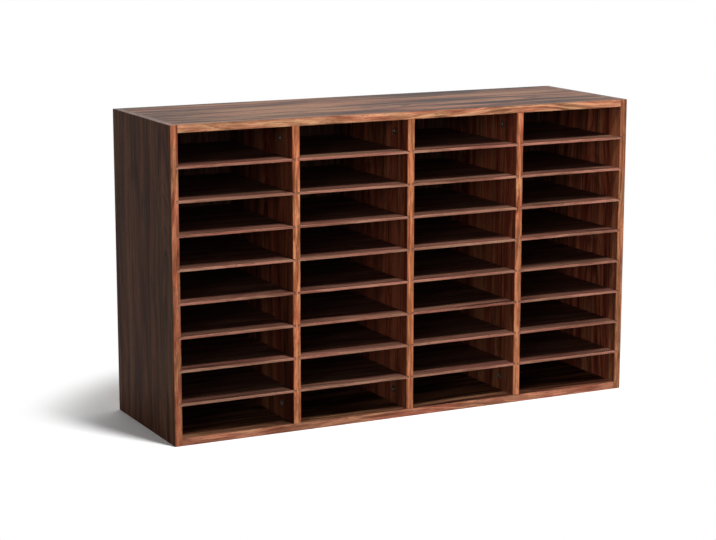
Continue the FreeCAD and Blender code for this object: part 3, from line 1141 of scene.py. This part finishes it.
@dataclass
class Studio:
    """A plain pale floor, a soft box above the front, weak lamps at the left, a white surround.

    Attributes:
        eye: the camera's place.
        forward: the way that it looks.
        down: the way that is down in its view.
        focal_px: its focal length, in pixels of its view.
        view_px: the view's width.
        sensor_mm: width of the camera's sensor.
        sight: how far the camera sees.
        floor_half: half the floor's side.
        floor_bright: the floor's paint to the eye, over white because less than white light falls on it.
        floor_dim: the floor's paint to the object, so that it throws little light up.
        floor_glow: light that keeps the deepest shadow soft.
        oval: the sizes along each axis of the oval in which a shadow shows.
        shadow_full: how far out in the oval the shadow is full.
        shadow_end: how far out it has faded to white.
        lamps: the lamps.
        surround: light from all round.
        fill: more light from behind, which gives the top its sheen.
        fill_way: the way to the fill's middle.
        fill_edge: cosine of the angle off that way at which the fill starts.
        fill_core: cosine of the angle within which it is full.
    """

    eye: Vector = field(default_factory=lambda: Vector((-1.8299, -3.5579, 1.0525)))
    forward: Vector = field(default_factory=lambda: Vector((0.44125, 0.87663, -0.1919)))
    down: Vector = field(default_factory=lambda: Vector((-0.0857, -0.1717, -0.98141)))
    focal_px: float = 1999.0
    view_px: float = 716.0
    sensor_mm: float = 36.0
    sight: float = 100.0
    floor_half: float = 30.0
    floor_bright: float = 1.12
    floor_dim: float = 0.15
    floor_glow: float = 0.02
    oval: Place = (0.91, 0.7, 1.0)
    shadow_full: float = 0.62
    shadow_end: float = 0.84
    lamps: tuple[Union[SoftBox, FarLamp], ...] = (
        SoftBox("soft_box", (0.15, -1.4, 2.7), (0.0, 0.0, 0.4), 80.0, 0.5),
        FarLamp("side_lamp", (-0.75, -0.65, 0.1), 0.6, 0.4),
        FarLamp("front_lamp", (-0.25, -0.96, 0.08), 0.25, 0.4),
    )
    surround: float = 0.13
    fill: float = 1.2
    fill_way: Vector = field(default_factory=lambda: Vector((0.65, 0.75, 0.15)))
    fill_edge: float = 0.3
    fill_core: float = 0.95

    def make_camera(self) -> None:
        """Stand the camera at the left front, looking slightly down."""
        data = bpy.data.cameras.new("camera")
        data.sensor_width = self.sensor_mm
        data.lens = self.focal_px / self.view_px * self.sensor_mm
        data.clip_end = self.sight
        camera = bpy.data.objects.new("camera", data)
        back = -self.forward.normalized()
        right = (-self.down).cross(back).normalized()
        up = back.cross(right)
        camera.matrix_world = Matrix.Translation(self.eye) @ Matrix((right, up, back)).transposed().to_4x4()
        bpy.context.scene.collection.objects.link(camera)
        bpy.context.scene.camera = camera

    def make_floor(self) -> None:
        """Lay the floor."""
        mesh = bpy.data.meshes.new("floor")
        shape = bmesh.new()
        bmesh.ops.create_grid(shape, x_segments=1, y_segments=1, size=self.floor_half)
        shape.to_mesh(mesh)
        shape.free()
        mesh.materials.append(self._make_floor_paint())
        floor = bpy.data.objects.new("floor", mesh)
        bpy.context.scene.collection.objects.link(floor)

    def _make_floor_paint(self) -> Material:
        """Make the floor's paint: white to the eye, with the object's shadow, and dim to the object.

        Returns:
            The material.
        """
        material = bpy.data.materials.new("pale_floor")
        material.use_nodes = True
        tree = material.node_tree
        tree.nodes.remove(tree.nodes["Principled BSDF"])
        paint = add_node(tree, "BsdfDiffuse", {"Color": grey(self.floor_bright)}).outputs[0]
        glow = add_node(tree, "Emission", {"Strength": self.floor_glow}).outputs[0]
        near = add_node(tree, "AddShader", {0: paint, 1: glow}).outputs[0]
        far = add_node(tree, "Emission", {"Strength": 1.0}).outputs[0]
        dim = add_node(tree, "BsdfDiffuse", {"Color": grey(self.floor_dim)}).outputs[0]
        place = add_node(tree, "TexCoord", {}).outputs["Object"]
        oval = add_node(tree, "VectorMath", {"operation": "DIVIDE", 0: place, 1: self.oval}).outputs[0]
        fading = {
            "interpolation_type": "SMOOTHSTEP",
            "From Min": self.shadow_full,
            "From Max": self.shadow_end,
            "Value": add_node(tree, "VectorMath", {"operation": "LENGTH", 0: oval}).outputs["Value"],
        }
        fade = add_node(tree, "MapRange", fading).outputs[0]
        shown = add_node(tree, "MixShader", {0: fade, 1: near, 2: far}).outputs[0]
        whole = add_node(tree, "MixShader", {0: self._seen(tree), 1: dim, 2: shown}).outputs[0]
        set_node(tree.nodes["Material Output"], {"Surface": whole})
        return material

    def _seen(self, tree: Tree) -> Socket:
        """Tell what the eye sees, straight or in gloss or through glass, from what lights the object.

        Args:
            tree: the tree that gets the nodes.

        Returns:
            One for rays of the eye, of gloss and of glass, and zero for the rest.
        """
        path = add_node(tree, "LightPath", {}).outputs
        shiny = {"operation": "MAXIMUM", 0: path["Is Glossy Ray"], 1: path["Is Transmission Ray"]}
        gloss = add_node(tree, "Math", shiny).outputs[0]
        either = {"operation": "MAXIMUM", 0: path["Is Camera Ray"], 1: gloss}
        return add_node(tree, "Math", either).outputs[0]

    def make_surround(self) -> None:
        """Light the object softly from all round, most from behind it, and show white to the eye."""
        world = bpy.data.worlds.new("surround")
        bpy.context.scene.world = world
        world.use_nodes = True
        tree = world.node_tree
        way = add_node(tree, "TexCoord", {}).outputs["Generated"]
        turned = {"operation": "DOT_PRODUCT", 0: way, 1: self.fill_way.normalized()}
        light = {
            "interpolation_type": "SMOOTHSTEP",
            "From Min": self.fill_edge,
            "From Max": self.fill_core,
            "To Min": self.surround,
            "To Max": self.surround + self.fill,
            "Value": add_node(tree, "VectorMath", turned).outputs["Value"],
        }
        soft = add_node(tree, "MapRange", light).outputs[0]
        either = {"operation": "MAXIMUM", 0: soft, 1: self._seen(tree)}
        strength = add_node(tree, "Math", either).outputs[0]
        set_node(tree.nodes["Background"], {"Color": grey(1.0), "Strength": strength})

    def set_up(self) -> None:
        """Make the camera, the floor, the lamps and the surround."""
        self.make_camera()
        self.make_floor()
        for lamp in self.lamps:
            lamp.set_up()
        self.make_surround()
        bpy.context.scene.view_settings.view_transform = "Standard"


def main() -> None:
    """Dress the sorter and set up the studio."""
    logging.basicConfig(level=logging.INFO, format="%(message)s")
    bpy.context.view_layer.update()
    Studio().set_up()
    case = Case()
    case.dress_uprights()
    case.dress_levels()
    case.dress_bands()
    Shelves().dress_all()
    Backs().dress_all()
    Fasteners().dress_all()


if __name__ == "__main__":
    main()
